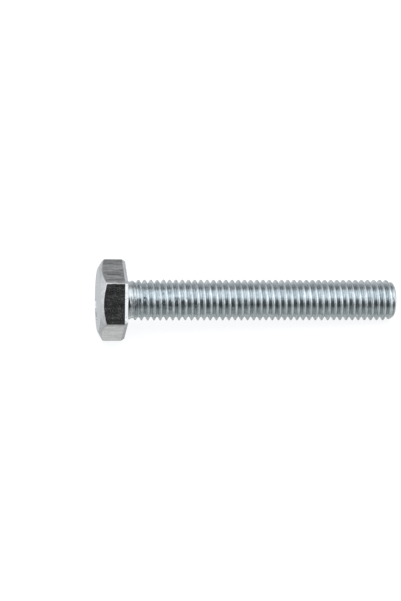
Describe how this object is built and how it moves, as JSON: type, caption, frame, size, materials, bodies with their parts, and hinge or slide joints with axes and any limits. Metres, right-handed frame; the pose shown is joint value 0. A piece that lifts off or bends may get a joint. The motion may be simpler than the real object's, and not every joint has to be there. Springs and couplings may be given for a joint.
{
  "type": "hex bolt",
  "caption": "Hexagon head screw, threaded right up to the head, zinc plated, with a chamfered head and a rolled point.",
  "frame": {"origin": "centre of the bearing face under the head, on the bolt's axis", "axes": "+X along the axis from the bearing face to the point, +Z square to one pair of the head's flats, +Y through two of its corners"},
  "size_m": [0.0716, 0.0196, 0.017],
  "materials": {
    "zinc_plated_steel": "bright clear zinc plating on forged and thread-rolled steel"
  },
  "bodies": {
    "root": {"hex_bolt": "zinc_plated_steel"}
  },
  "joints": []
}
